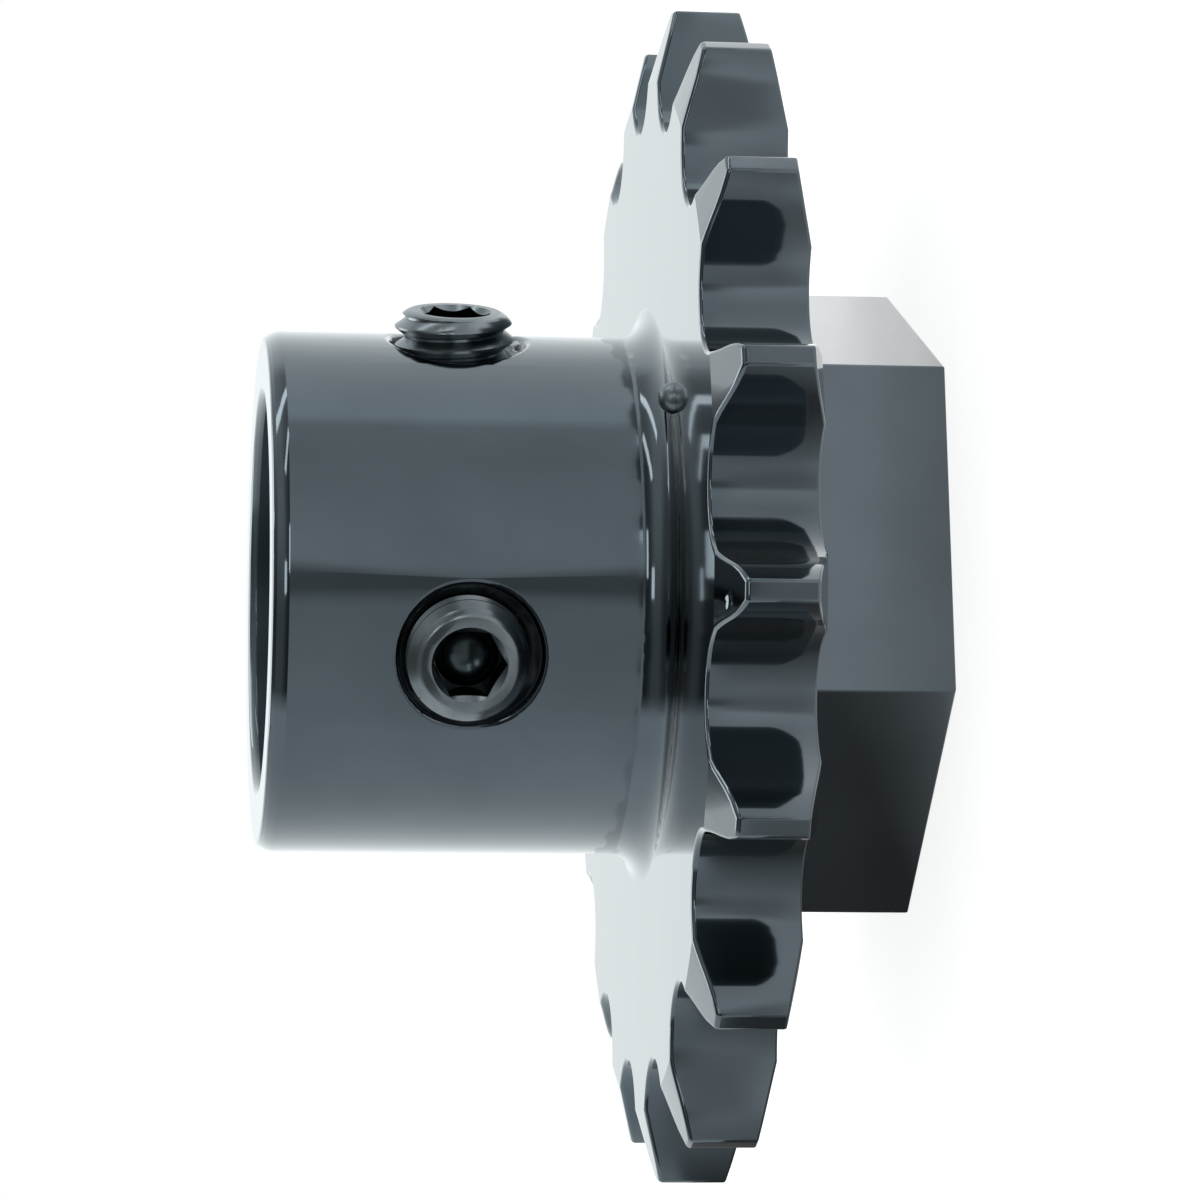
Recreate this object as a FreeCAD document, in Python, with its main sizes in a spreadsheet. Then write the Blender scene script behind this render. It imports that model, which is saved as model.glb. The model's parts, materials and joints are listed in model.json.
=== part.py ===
import FreeCAD, Part
import math
import os
import Sketcher

# Chain sprocket with a plain hub and a hexagonal boss, for 12.7 mm pitch roller chain.
# The sprocket stands on the end of its hexagon: the axis of the bore is +Z, the hub is up,
# and the origin is where the axis meets the end face of the hexagon.
# From below: hexagonal boss, toothed plate, round hub. The bore runs through all three.
# Two hexagon-socket set screws a quarter turn apart (-Y and +X) clamp the hub to its shaft.

Vector = FreeCAD.Vector

# Driving dimensions in millimetres, angles in degrees.
SIZES = [
    ("ChainPitch", 12.7),        # distance between the pins of the chain
    ("RollerDia", 7.92),         # roller of the chain
    ("TeethCount", 17),
    ("PlateThick", 6.7),
    ("RimTaperDia", 66.4),       # the sides of the teeth lean inwards outside this circle
    ("RimTaperInset", 1.2),      # how far each side has leaned in at the tip
    ("HexFlats", 36.0),
    ("HexLength", 10.3),
    ("HexTurn", 28.0),           # +X axis to the nearest corner of the hexagon
    ("HubDia", 33.4),
    ("HubLength", 24.7),
    ("HubEdgeChamfer", 0.5),
    ("HubRootRadius", 2.0),
    ("BoreDia", 25.4),
    ("BoreChamfer", 0.4),
    ("GapTurn", -65.2),          # +X axis to the middle of the nearest tooth gap
    ("ScrewDia", 7.6),           # crest of the M8 thread
    ("ScrewLength", 5.5),
    ("ScrewFromPlate", 12.7),    # plate face to the axis of the screws
    ("ScrewProud", 1.8),         # how far the screws stand out of the hub
    ("ScrewFaceDia", 6.6),
    ("ScrewFaceDrop", 0.5),
    ("PointDia", 5.4),
    ("PointChamfer", 0.9),
    ("CupDepth", 0.8),
    ("SocketFlats", 4.0),
    ("SocketDepth", 2.6),
    ("SocketPoint", 0.9),
    ("MouthDia", 8.6),           # opened mouth of each tapped hole
    ("MouthDepth", 0.9),         # straight part of the mouth, below the crown of the hub
    ("MouthTaper", 0.5),         # tapered part below it
    ("MouthShift", 0.25),        # how far the mouths sit off their screws' axes, towards the plate
    ("MouthLipRadius", 0.5),     # worn-round lip of the mouths
    ("ScrewCount", 2),
    ("ScrewSpread", 90),         # angle from one screw to the next
]

# Tooth form of the roller chain standard, worked out from the chain and the number of teeth.
# Seen across one tooth gap: a seat arc for the roller, a working arc, a short straight, a tip arc.
TOOTH_FORM = [
    ("HalfPitchAngle", "=180 / Sizes.TeethCount"),
    ("PitchDia", "=Sizes.ChainPitch / sin(HalfPitchAngle)"),
    ("OutsideDia", "=Sizes.ChainPitch * (0.6 + 1 / tan(HalfPitchAngle))"),
    ("SeatRadius", "=0.5 * (1.005 * Sizes.RollerDia + 0.0762)"),
    ("SeatAngle", "=35 + 60 / Sizes.TeethCount"),
    ("WorkAngle", "=18 - 56 / Sizes.TeethCount"),
    ("WorkRadius", "=1.3025 * Sizes.RollerDia + 0.0381"),
    ("WorkAcross", "=0.8 * Sizes.RollerDia * cos(SeatAngle)"),
    ("WorkOut", "=0.8 * Sizes.RollerDia * sin(SeatAngle)"),
    ("TipAcross", "=1.4 * Sizes.RollerDia * cos(HalfPitchAngle)"),
    ("TipIn", "=1.4 * Sizes.RollerDia * sin(HalfPitchAngle)"),
    ("TipRadius", "=Sizes.RollerDia * (0.8 * cos(WorkAngle)"
                  " + 1.4 * cos(17 - 64 / Sizes.TeethCount) - 1.3025) - 0.0381"),
]

CUT_CLEAR = 1.5    # how far a cutting profile reaches past the solid that it cuts
TIP_CLEAR = 0.3    # how far the tip arcs of a tooth gap run on past the outside diameter
FULL_TURN = 360
NEAR = 1e-4        # mm, for telling edges apart
SCREW_HEIGHT = "Sizes.HexLength + Sizes.PlateThick + Sizes.ScrewFromPlate"    # axis of the screws

START, END, CENTRE = 1, 2, 3     # points of a sketch element
H_AXIS, V_AXIS = -1, -2
ORIGIN = (H_AXIS, START)


# ---------------------------------------------------------------- document helpers

def add_sheet(doc, name, rows):
    """A sheet with one aliased cell per row: names in column A, values in column B."""
    sheet = doc.addObject("Spreadsheet::Sheet", name)
    for row, (alias, value) in enumerate(rows, start=1):
        sheet.set(f"A{row}", alias)
        sheet.set(f"B{row}", str(value))
        sheet.setAlias(f"B{row}", alias)
    doc.recompute()
    return sheet


def size(doc, alias):
    """The value of a cell, from either sheet."""
    for sheet in (doc.Sizes, doc.ToothForm):
        if sheet.getCellFromAlias(alias):
            return float(sheet.get(alias))
    raise KeyError(alias)


def new_body(doc, label):
    body = doc.addObject("PartDesign::Body", label)
    body.Label = label
    return body


def origin_part(body, role):
    return next(part for part in body.Origin.OriginFeatures if part.Role == role)


def new_sketch(body, name, plane):
    sketch = body.newObject("Sketcher::SketchObject", name)
    sketch.AttachmentSupport = [(origin_part(body, plane), "")]
    sketch.MapMode = "FlatFace"
    return sketch


def turn_sketch(sketch, expression):
    """Turns a sketch about its own normal by an angle from the sheet."""
    sketch.AttachmentOffset = FreeCAD.Placement(Vector(), FreeCAD.Rotation(Vector(0, 0, 1), 1))
    sketch.setExpression(".AttachmentOffset.Rotation.Angle", expression)


def dimension(sketch, kind, where, expression):
    """A dimension of a sketch, bound to the sheets."""
    value = sketch.evalExpression(expression)
    index = sketch.addConstraint(Sketcher.Constraint(kind, *where, float(value)))
    name = f"{kind}{index}"
    sketch.renameConstraint(index, name)
    sketch.setExpression(f"Constraints.{name}", expression)


def constrain(sketch, kind, *where):
    sketch.addConstraint(Sketcher.Constraint(kind, *where))


def closed_outline(sketch, points):
    """A closed run of straight lines through the points, joined end to start."""
    ends = points[1:] + points[:1]
    lines = [sketch.addGeometry(Part.LineSegment(Vector(*a, 0), Vector(*b, 0)), False)
             for a, b in zip(points, ends)]
    for line, following in zip(lines, lines[1:] + lines[:1]):
        constrain(sketch, "Coincident", line, END, following, START)
    return lines


def hexagon(sketch, flats):
    """A regular hexagon about the origin with a corner on the sketch's horizontal axis."""
    corner_radius = f"{flats} / 2 / cos(30)"
    radius = float(sketch.evalExpression(corner_radius))
    corners = [(radius * math.cos(math.radians(turn)), radius * math.sin(math.radians(turn)))
               for turn in range(0, FULL_TURN, 60)]
    sides = closed_outline(sketch, corners)
    circle = sketch.addGeometry(Part.Circle(Vector(), Vector(0, 0, 1), radius), True)
    constrain(sketch, "Coincident", circle, CENTRE, *ORIGIN)
    for side in sides:
        constrain(sketch, "PointOnObject", side, START, circle)
    for side in sides[1:]:
        constrain(sketch, "Equal", sides[0], side)
    constrain(sketch, "PointOnObject", sides[0], START, H_AXIS)
    dimension(sketch, "Radius", (circle,), corner_radius)


def cut_through(body, name, sketch):
    """A pocket through everything on both sides of its sketch."""
    pocket = body.newObject("PartDesign::Pocket", name)
    pocket.Profile = sketch
    pocket.SideType = "Symmetric"
    pocket.Type = "ThroughAll"
    return pocket


def turned(body, kind, name, sketch, axis):
    """A revolution or a groove, one full turn about the given axis."""
    feature = body.newObject(f"PartDesign::{kind}", name)
    feature.Profile = sketch
    feature.ReferenceAxis = axis
    feature.Angle = FULL_TURN
    return feature


def polar_pattern(body, name, originals, angle, count, clockwise=False):
    """Repeats features about the Z axis, spread over an angle, seen from above."""
    pattern = body.newObject("PartDesign::PolarPattern", name)
    pattern.Originals = originals
    pattern.Axis = (origin_part(body, "Z_Axis"), [""])
    pattern.setExpression("Angle", angle)
    pattern.Reversed = clockwise
    pattern.setExpression("Occurrences", count)
    body.Tip = pattern


def rings(shape, radius, height):
    """Names of the round edges about the Z axis with this radius at this height."""
    names = []
    for number, edge in enumerate(shape.Edges, start=1):
        if not isinstance(edge.Curve, Part.Circle):
            continue
        centre = edge.Curve.Center
        off_axis = math.hypot(centre.x, centre.y)
        if off_axis < NEAR and abs(edge.Curve.Radius - radius) < NEAR and abs(centre.z - height) < NEAR:
            names.append(f"Edge{number}")
    return names


def dress_edges(body, kind, name, edges, value):
    """A fillet or chamfer on edges of the body's last feature."""
    base = body.Tip
    feature = body.newObject(f"PartDesign::{kind}", name)
    feature.Base = (base, edges)
    feature.setExpression("Radius" if kind == "Fillet" else "Size", value)
    body.Tip = feature
    return feature


# ---------------------------------------------------------------- sprocket body

def hex_boss(body):
    sketch = new_sketch(body, "HexSketch", "XY_Plane")
    hexagon(sketch, "Sizes.HexFlats")
    turn_sketch(sketch, "Sizes.HexTurn")
    pad = body.newObject("PartDesign::Pad", "HexBoss")
    pad.Profile = sketch
    pad.setExpression("Length", "Sizes.HexLength")


def plate_and_hub(doc, body):
    """Half section of the plate, with its sides leaning in at the rim, and of the hub on top."""
    plate_foot = size(doc, "HexLength")
    plate_top = plate_foot + size(doc, "PlateThick")
    hub_top = plate_top + size(doc, "HubLength")
    inset = size(doc, "RimTaperInset")
    rim = size(doc, "OutsideDia") / 2
    taper = size(doc, "RimTaperDia") / 2
    hub = size(doc, "HubDia") / 2

    sketch = new_sketch(body, "PlateAndHubSketch", "XZ_Plane")
    lines = closed_outline(sketch, [
        (0, plate_foot), (taper, plate_foot), (rim, plate_foot + inset), (rim, plate_top - inset),
        (taper, plate_top), (hub, plate_top), (hub, hub_top), (0, hub_top)])
    foot, taper_low, edge, taper_high, face, side, end, axis = lines
    for line in (foot, face, end):
        constrain(sketch, "Horizontal", line)
    for line in (edge, side):
        constrain(sketch, "Vertical", line)
    constrain(sketch, "PointOnObject", axis, START, V_AXIS)
    constrain(sketch, "PointOnObject", axis, END, V_AXIS)
    constrain(sketch, "Vertical", taper_low, START, taper_high, END)
    dimension(sketch, "DistanceY", (*ORIGIN, foot, START), "Sizes.HexLength")
    dimension(sketch, "DistanceY", (taper_low, START, taper_high, END), "Sizes.PlateThick")
    dimension(sketch, "DistanceY", (side, START, side, END), "Sizes.HubLength")
    dimension(sketch, "DistanceX", (*ORIGIN, foot, END), "Sizes.RimTaperDia / 2")
    dimension(sketch, "DistanceX", (*ORIGIN, edge, START), "ToothForm.OutsideDia / 2")
    dimension(sketch, "DistanceX", (*ORIGIN, side, START), "Sizes.HubDia / 2")
    dimension(sketch, "DistanceY", (taper_low, START, taper_low, END), "Sizes.RimTaperInset")
    dimension(sketch, "DistanceY", (taper_high, START, taper_high, END), "Sizes.RimTaperInset")
    turned(body, "Revolution", "PlateAndHub", sketch, (sketch, ["V_Axis"]))


def tooth_gap_sketch(doc, body):
    """One tooth gap, its middle along the sketch's horizontal axis."""
    pitch_radius = size(doc, "PitchDia") / 2
    tip_reach = size(doc, "OutsideDia") / 2 + TIP_CLEAR
    cut_reach = tip_reach + CUT_CLEAR
    seat_radius = size(doc, "SeatRadius")
    work_radius = size(doc, "WorkRadius")
    tip_radius = size(doc, "TipRadius")
    seat_end = math.radians(90 + size(doc, "SeatAngle"))
    work_end = seat_end - math.radians(size(doc, "WorkAngle"))

    seat_centre = Vector(pitch_radius, 0, 0)
    work_centre = seat_centre + Vector(size(doc, "WorkOut"), -size(doc, "WorkAcross"), 0)
    tip_centre = seat_centre + Vector(-size(doc, "TipIn"), size(doc, "TipAcross"), 0)
    work_point = work_centre + work_radius * Vector(math.cos(work_end), math.sin(work_end), 0)
    tip_point = tip_centre - tip_radius * Vector(math.cos(work_end), math.sin(work_end), 0)

    # The tip arc ends where it reaches the tip circle, found by the cosine rule.
    spread = math.acos((tip_centre.Length ** 2 + tip_radius ** 2 - tip_reach ** 2)
                       / (2 * tip_centre.Length * tip_radius))
    tip_end = math.atan2(-tip_centre.y, -tip_centre.x) + spread
    outer_point = tip_centre + tip_radius * Vector(math.cos(tip_end), math.sin(tip_end), 0)

    def mirrored(point):
        return Vector(point.x, -point.y, 0)

    def arc(centre, radius, first, last):
        circle = Part.Circle(centre, Vector(0, 0, 1), radius)
        return sketch.addGeometry(Part.ArcOfCircle(circle, first, last), False)

    def line(first, last):
        return sketch.addGeometry(Part.LineSegment(first, last), False)

    sketch = new_sketch(body, "ToothGapSketch", "XY_Plane")
    seat = arc(seat_centre, seat_radius, seat_end, 2 * math.pi - seat_end)
    work = arc(work_centre, work_radius, work_end, seat_end)
    work_far = arc(mirrored(work_centre), work_radius, -seat_end, -work_end)
    flank = line(work_point, tip_point)
    flank_far = line(mirrored(tip_point), mirrored(work_point))
    tip = arc(tip_centre, tip_radius, work_end + math.pi, tip_end)
    tip_far = arc(mirrored(tip_centre), tip_radius, -tip_end, -work_end - math.pi)
    side = line(outer_point, Vector(cut_reach, outer_point.y, 0))
    back = line(Vector(cut_reach, outer_point.y, 0), Vector(cut_reach, -outer_point.y, 0))
    side_far = line(Vector(cut_reach, -outer_point.y, 0), mirrored(outer_point))

    for joint in ((seat, START, work, END), (seat, END, work_far, START),
                  (work, START, flank, START), (work_far, END, flank_far, END),
                  (flank, END, tip, START), (flank_far, START, tip_far, END)):
        constrain(sketch, "Tangent", *joint)
    for joint in ((tip, END, side, START), (side, END, back, START),
                  (back, END, side_far, START), (side_far, END, tip_far, START)):
        constrain(sketch, "Coincident", *joint)
    constrain(sketch, "Horizontal", side)
    constrain(sketch, "Horizontal", side_far)
    constrain(sketch, "Vertical", back)
    constrain(sketch, "PointOnObject", seat, CENTRE, H_AXIS)
    constrain(sketch, "Equal", work, work_far)
    constrain(sketch, "Equal", tip, tip_far)
    constrain(sketch, "Vertical", work, CENTRE, work_far, CENTRE)
    constrain(sketch, "Vertical", side, START, side_far, END)
    constrain(sketch, "Symmetric", tip, CENTRE, tip_far, CENTRE, H_AXIS)

    dimension(sketch, "DistanceX", (*ORIGIN, seat, CENTRE), "ToothForm.PitchDia / 2")
    dimension(sketch, "Radius", (seat,), "ToothForm.SeatRadius")
    dimension(sketch, "Radius", (work,), "ToothForm.WorkRadius")
    dimension(sketch, "DistanceY", (work, CENTRE, seat, CENTRE), "ToothForm.WorkAcross")
    dimension(sketch, "Radius", (tip,), "ToothForm.TipRadius")
    dimension(sketch, "DistanceX", (tip, CENTRE, seat, CENTRE), "ToothForm.TipIn")
    dimension(sketch, "DistanceY", (seat, CENTRE, tip, CENTRE), "ToothForm.TipAcross")
    dimension(sketch, "Distance", (*ORIGIN, tip, END), f"ToothForm.OutsideDia / 2 + {TIP_CLEAR}")
    dimension(sketch, "DistanceX", (*ORIGIN, back, START),
              f"ToothForm.OutsideDia / 2 + {TIP_CLEAR + CUT_CLEAR}")
    return sketch


def teeth(doc, body):
    """Cuts one gap through the plate and repeats it all round, which leaves the teeth."""
    sketch = tooth_gap_sketch(doc, body)
    turn_sketch(sketch, "Sizes.GapTurn")
    gap = cut_through(body, "ToothGap", sketch)
    polar_pattern(body, "ToothGaps", [gap], str(FULL_TURN), "Sizes.TeethCount")


def bore(body):
    sketch = new_sketch(body, "BoreSketch", "XY_Plane")
    radius = float(sketch.evalExpression("Sizes.BoreDia / 2"))
    circle = sketch.addGeometry(Part.Circle(Vector(), Vector(0, 0, 1), radius), False)
    constrain(sketch, "Coincident", circle, CENTRE, *ORIGIN)
    dimension(sketch, "Radius", (circle,), "Sizes.BoreDia / 2")
    cut_through(body, "Bore", sketch)


def edge_work(doc, body):
    """Rounds the hub's root, and chamfers its outer edge and both ends of the bore."""
    plate_top = size(doc, "HexLength") + size(doc, "PlateThick")
    hub_top = plate_top + size(doc, "HubLength")
    hub_radius = size(doc, "HubDia") / 2
    bore_radius = size(doc, "BoreDia") / 2
    for kind, name, places, value in (
            ("Fillet", "HubRoot", [(hub_radius, plate_top)], "Sizes.HubRootRadius"),
            ("Chamfer", "HubEdge", [(hub_radius, hub_top)], "Sizes.HubEdgeChamfer"),
            ("Chamfer", "BoreMouths", [(bore_radius, 0), (bore_radius, hub_top)],
             "Sizes.BoreChamfer")):
        doc.recompute()
        edges = [edge for place in places for edge in rings(body.Tip.Shape, *place)]
        dress_edges(body, kind, name, edges, value)


def radial_section(body, name, height, outline):
    """Half section of a cut along +X, closed on the cut's own axis, which stands at this height.

    The outline gives distances from the bore's axis and, second, off the cut's own axis.
    """
    sketch = new_sketch(body, name, "XZ_Plane")
    level = float(sketch.evalExpression(height))
    (first, _), (last, _) = outline[0], outline[-1]
    lines = closed_outline(sketch, [(along, level + off) for along, off in
                                    [(first, 0), *outline, (last, 0)]])
    start, *_, finish, axis = lines
    constrain(sketch, "Vertical", start)
    constrain(sketch, "Vertical", finish)
    constrain(sketch, "Horizontal", axis)
    dimension(sketch, "DistanceY", (*ORIGIN, start, START), height)
    return sketch, lines


def screw_hole(doc, body):
    """Tapped hole along +X, bored to the crest of its screw."""
    radius = size(doc, "ScrewDia") / 2
    inner = size(doc, "BoreDia") / 2 - CUT_CLEAR
    outer = size(doc, "HubDia") / 2 + CUT_CLEAR
    sketch, lines = radial_section(body, "ScrewHoleSketch", SCREW_HEIGHT,
                                   [(inner, radius), (outer, radius)])
    start, wall, finish, axis = lines
    constrain(sketch, "Horizontal", wall)
    dimension(sketch, "DistanceY", (start, START, start, END), "Sizes.ScrewDia / 2")
    dimension(sketch, "DistanceX", (*ORIGIN, start, START), f"Sizes.BoreDia / 2 - {CUT_CLEAR}")
    dimension(sketch, "DistanceX", (*ORIGIN, finish, START), f"Sizes.HubDia / 2 + {CUT_CLEAR}")
    return turned(body, "Groove", "ScrewHole", sketch, (sketch, [f"Edge{len(lines)}"]))


def screw_mouth(doc, body):
    """Opened mouth of the tapped hole, a little off its axis, with a tapered floor."""
    hole = size(doc, "ScrewDia") / 2 - size(doc, "MouthShift")
    mouth = size(doc, "MouthDia") / 2
    floor = size(doc, "HubDia") / 2 - size(doc, "MouthDepth")
    outer = size(doc, "HubDia") / 2 + CUT_CLEAR
    sketch, lines = radial_section(body, "ScrewMouthSketch", f"{SCREW_HEIGHT} - Sizes.MouthShift",
                                   [(floor - size(doc, "MouthTaper"), hole), (floor, mouth),
                                    (outer, mouth)])
    start, taper, wall, finish, axis = lines
    constrain(sketch, "Horizontal", wall)
    dimension(sketch, "DistanceY", (start, START, start, END), "Sizes.ScrewDia / 2 - Sizes.MouthShift")
    dimension(sketch, "DistanceY", (finish, END, finish, START), "Sizes.MouthDia / 2")
    dimension(sketch, "DistanceX", (taper, START, taper, END), "Sizes.MouthTaper")
    dimension(sketch, "DistanceX", (*ORIGIN, wall, START), "Sizes.HubDia / 2 - Sizes.MouthDepth")
    dimension(sketch, "DistanceX", (*ORIGIN, finish, START), f"Sizes.HubDia / 2 + {CUT_CLEAR}")
    return turned(body, "Groove", "ScrewMouth", sketch, (sketch, [f"Edge{len(lines)}"]))


def mouth_rims(doc, shape):
    """Names of the edges where the mouths break through the side of the hub."""
    hub = size(doc, "HubDia") / 2
    names = []
    for number, edge in enumerate(shape.Edges, start=1):
        middle = edge.valueAt((edge.FirstParameter + edge.LastParameter) / 2)
        straight_or_round = isinstance(edge.Curve, (Part.Line, Part.Circle))
        if abs(math.hypot(middle.x, middle.y) - hub) < NEAR and not straight_or_round:
            names.append(f"Edge{number}")
    return names


def screw_holes(doc, body):
    """The tapped hole along +X with its mouth, and its copies, turned back towards -Y."""
    cuts = [screw_hole(doc, body), screw_mouth(doc, body)]
    polar_pattern(body, "ScrewHoles", cuts, "Sizes.ScrewSpread * (Sizes.ScrewCount - 1)",
                  "Sizes.ScrewCount", clockwise=True)
    doc.recompute()
    dress_edges(body, "Fillet", "MouthLips", mouth_rims(doc, body.Tip.Shape), "Sizes.MouthLipRadius")


def sprocket_body(doc):
    body = new_body(doc, "sprocket_body")
    hex_boss(body)
    plate_and_hub(doc, body)
    teeth(doc, body)
    bore(body)
    edge_work(doc, body)
    screw_holes(doc, body)
    doc.recompute()
    return body


# ---------------------------------------------------------------- set screws

def screw_blank(doc, body):
    """Half section of a set screw: flat socket end at the origin, cup point below it."""
    radius = size(doc, "ScrewDia") / 2
    face = size(doc, "ScrewFaceDia") / 2
    point = size(doc, "PointDia") / 2
    foot = -size(doc, "ScrewLength")
    shoulder = -size(doc, "ScrewFaceDrop")
    chamfer = foot + size(doc, "PointChamfer")
    cup = foot + size(doc, "CupDepth")

    sketch = new_sketch(body, "BlankSketch", "XZ_Plane")
    lines = closed_outline(sketch, [
        (0, 0), (face, 0), (radius, shoulder), (radius, chamfer), (point, foot), (0, cup)])
    top, lead_in, shank, lead_out, cup_side, axis = lines
    constrain(sketch, "Coincident", top, START, *ORIGIN)
    constrain(sketch, "Horizontal", top)
    constrain(sketch, "Vertical", shank)
    constrain(sketch, "Vertical", axis)
    dimension(sketch, "DistanceX", (top, START, top, END), "Sizes.ScrewFaceDia / 2")
    dimension(sketch, "DistanceX", (*ORIGIN, shank, START), "Sizes.ScrewDia / 2")
    dimension(sketch, "DistanceX", (*ORIGIN, cup_side, START), "Sizes.PointDia / 2")
    dimension(sketch, "DistanceY", (lead_in, END, lead_in, START), "Sizes.ScrewFaceDrop")
    dimension(sketch, "DistanceY", (cup_side, START, *ORIGIN), "Sizes.ScrewLength")
    dimension(sketch, "DistanceY", (lead_out, END, lead_out, START), "Sizes.PointChamfer")
    dimension(sketch, "DistanceY", (cup_side, START, cup_side, END), "Sizes.CupDepth")
    turned(body, "Revolution", "Blank", sketch, (sketch, ["V_Axis"]))


def screw_socket(doc, body):
    """Hexagon socket with the cone that its drill leaves at the bottom."""
    sketch = new_sketch(body, "SocketSketch", "XY_Plane")
    hexagon(sketch, "Sizes.SocketFlats")
    socket = body.newObject("PartDesign::Pocket", "Socket")
    socket.Profile = sketch
    socket.setExpression("Length", "Sizes.SocketDepth")

    drill_radius = size(doc, "SocketFlats") / 2
    floor = -size(doc, "SocketDepth")
    cone = new_sketch(body, "SocketPointSketch", "XZ_Plane")
    lines = closed_outline(cone, [(0, floor), (0, floor - size(doc, "SocketPoint")), (drill_radius, floor)])
    axis, slope, mouth = lines
    constrain(cone, "PointOnObject", axis, START, V_AXIS)
    constrain(cone, "PointOnObject", axis, END, V_AXIS)
    constrain(cone, "Horizontal", mouth)
    dimension(cone, "DistanceY", (axis, START, *ORIGIN), "Sizes.SocketDepth")
    dimension(cone, "DistanceY", (axis, END, axis, START), "Sizes.SocketPoint")
    dimension(cone, "DistanceX", (axis, START, slope, END), "Sizes.SocketFlats / 2")
    turned(body, "Groove", "SocketPointCut", cone, (cone, ["V_Axis"]))


def set_screw(doc, label, steps_back):
    """A set screw whose socket end faces out of the hub, so many steps clockwise from +X."""
    body = new_body(doc, label)
    screw_blank(doc, body)
    screw_socket(doc, body)
    turn = -steps_back * size(doc, "ScrewSpread")
    outward = FreeCAD.Rotation(Vector(0, 0, 1), turn) * FreeCAD.Rotation(Vector(0, 1, 0), 90)
    body.Placement = FreeCAD.Placement(Vector(), outward)
    reach = "(Sizes.HubDia / 2 + Sizes.ScrewProud)"
    angle = f"(-{steps_back} * Sizes.ScrewSpread)"
    body.setExpression(".Placement.Base.x", f"{reach} * cos({angle})")
    body.setExpression(".Placement.Base.y", f"{reach} * sin({angle})")
    body.setExpression(".Placement.Base.z", SCREW_HEIGHT)
    doc.recompute()
    return body


# ---------------------------------------------------------------- checks and files

def check(doc, bodies):
    """Stops if any object failed or any piece is not one valid solid."""
    for item in doc.Objects:
        if "Invalid" in item.State or "Error" in item.State:
            raise RuntimeError(f"{item.Label}: {item.State}")
    for body in bodies:
        shape = body.Shape
        if shape.isNull() or not shape.isValid() or len(shape.Solids) != 1:
            raise RuntimeError(f"{body.Label}: not one valid solid")
        box = shape.BoundBox
        print(f"{body.Label}: {shape.Volume:.1f} mm3,"
              f" {box.XLength:.2f} x {box.YLength:.2f} x {box.ZLength:.2f} mm")


def main():
    doc = FreeCAD.newDocument("ChainSprocket")
    add_sheet(doc, "Sizes", SIZES)
    add_sheet(doc, "ToothForm", TOOTH_FORM)
    bodies = [sprocket_body(doc)]
    screw_count = int(size(doc, "ScrewCount"))
    for number in range(1, screw_count + 1):
        bodies.append(set_screw(doc, f"set_screw_{number}", screw_count - number))
    check(doc, bodies)
    os.makedirs("parts", exist_ok=True)
    for body in bodies:
        body.Shape.exportStep(f"parts/{body.Label}.step")


main()
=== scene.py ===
import json
import math

import bmesh
import bpy
from mathutils import Matrix, Vector


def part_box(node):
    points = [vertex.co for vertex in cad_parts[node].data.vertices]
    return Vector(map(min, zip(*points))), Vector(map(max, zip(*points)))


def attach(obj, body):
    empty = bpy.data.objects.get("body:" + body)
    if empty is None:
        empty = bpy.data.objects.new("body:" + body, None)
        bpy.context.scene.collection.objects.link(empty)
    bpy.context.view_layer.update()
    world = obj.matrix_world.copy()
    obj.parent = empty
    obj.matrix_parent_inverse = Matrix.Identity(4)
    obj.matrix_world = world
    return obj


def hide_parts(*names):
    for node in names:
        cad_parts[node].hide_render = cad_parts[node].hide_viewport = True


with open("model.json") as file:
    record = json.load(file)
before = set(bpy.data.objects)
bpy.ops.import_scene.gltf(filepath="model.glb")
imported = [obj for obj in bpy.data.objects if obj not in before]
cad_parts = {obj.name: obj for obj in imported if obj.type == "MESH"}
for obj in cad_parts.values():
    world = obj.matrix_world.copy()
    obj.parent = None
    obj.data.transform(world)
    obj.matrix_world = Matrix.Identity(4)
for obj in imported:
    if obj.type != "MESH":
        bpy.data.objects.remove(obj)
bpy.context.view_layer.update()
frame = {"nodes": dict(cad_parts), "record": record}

MM = 0.001
FULL_TURN = 2 * math.pi

# ---------------------------------------------------------------- places, from the frame

TOOTH_ZONE = 25 * MM            # further out than this from the axis, all is toothed plate
UPPER_HUB = 10 * MM             # the top of the hub, this long, lies clear of its root

screw_low, screw_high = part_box("set_screw_2")
mounts = {mount["name"]: mount for mount in frame["record"]["mounts"]}
body_points = [vert.co.copy() for vert in frame["nodes"]["sprocket_body"].data.vertices]

HUB_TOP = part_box("sprocket_body")[1].z
HUB_RADIUS = max(point.xy.length for point in body_points if point.z > HUB_TOP - UPPER_HUB)
PLATE_TOP = max(point.z for point in body_points if point.xy.length > TOOTH_ZONE)
BORE_RADIUS = mounts["shaft_bore"]["dims"]["r_mm"] * MM
SCREW_AXIS_Z = (screw_low.z + screw_high.z) / 2
SCREW_FACE_REACH = screw_high.x
SCREW_LENGTH = screw_high.x - screw_low.x
SCREW_CREST = (screw_high.z - screw_low.z) / 2

# ---------------------------------------------------------------- sizes of what is added

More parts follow.
